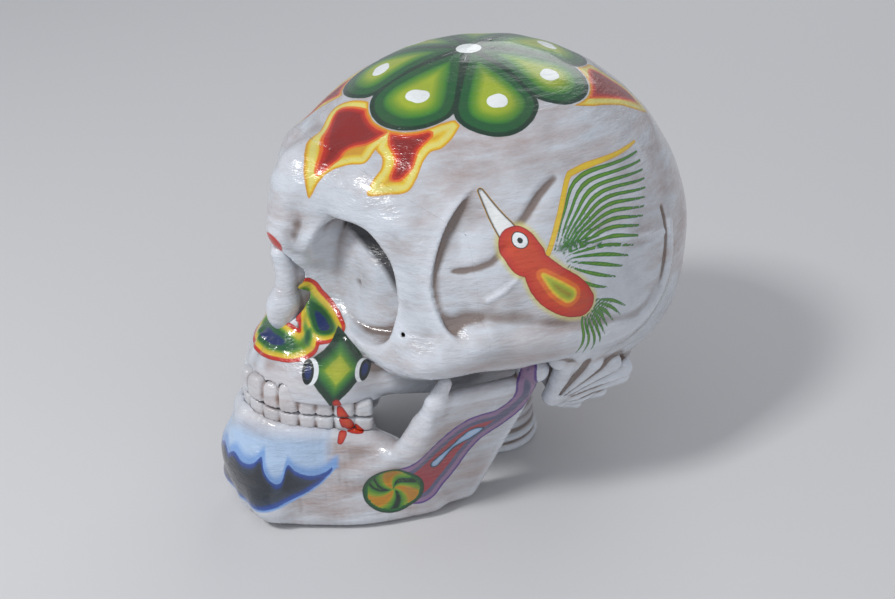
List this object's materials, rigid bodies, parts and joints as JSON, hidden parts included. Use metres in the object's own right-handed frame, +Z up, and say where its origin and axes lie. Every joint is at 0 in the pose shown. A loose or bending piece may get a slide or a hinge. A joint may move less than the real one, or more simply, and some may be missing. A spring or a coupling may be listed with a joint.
{
  "type": "painted skull figure",
  "caption": "Life-size hand-modelled skull in varnished plaster, hinged jaw, painted with a crown flower, flames, a bird and ribbons.",
  "frame": {"origin": "middle of the footprint, on the table", "axes": "+Z up, face towards -Y, the skull's own left towards +X"},
  "size_m": [0.1486, 0.1996, 0.17],
  "materials": {
    "painted_vault": "glossy varnish over white plaster, painted flower and flames",
    "painted_base": "glossy varnish over white plaster, painted bird",
    "painted_face": "glossy varnish over white plaster, painted ribbon and lozenge",
    "painted_jaw": "glossy varnish over white plaster, painted disc, band and beard",
    "glazed_plaster": "glossy varnish over white plaster with a brown wash",
    "glazed_teeth": "glossy varnish over white plaster with a brown wash in the joints",
    "steel_pin": "plain drawn rod"
  },
  "bodies": {
    "cranium": {"cranial_vault": "painted_vault", "cranial_base": "painted_base", "face": "painted_face", "left_zygomatic_arch": "glazed_plaster", "right_zygomatic_arch": "glazed_plaster", "left_mastoid": "glazed_plaster", "right_mastoid": "glazed_plaster", "nasal_septum": "glazed_plaster", "upper_teeth": "glazed_teeth", "neck_stub": "glazed_plaster", "left_jaw_pin": "steel_pin", "right_jaw_pin": "steel_pin"},
    "jaw": {"mandible": "painted_jaw", "lower_teeth": "glazed_teeth"}
  },
  "joints": [
    {"name": "jaw_hinge", "type": "hinge", "parent": "cranium", "child": "jaw", "pos_m": [0, 0.00115, 0.062], "axis": [1, 0, 0], "range_deg": [0, 20]}
  ]
}
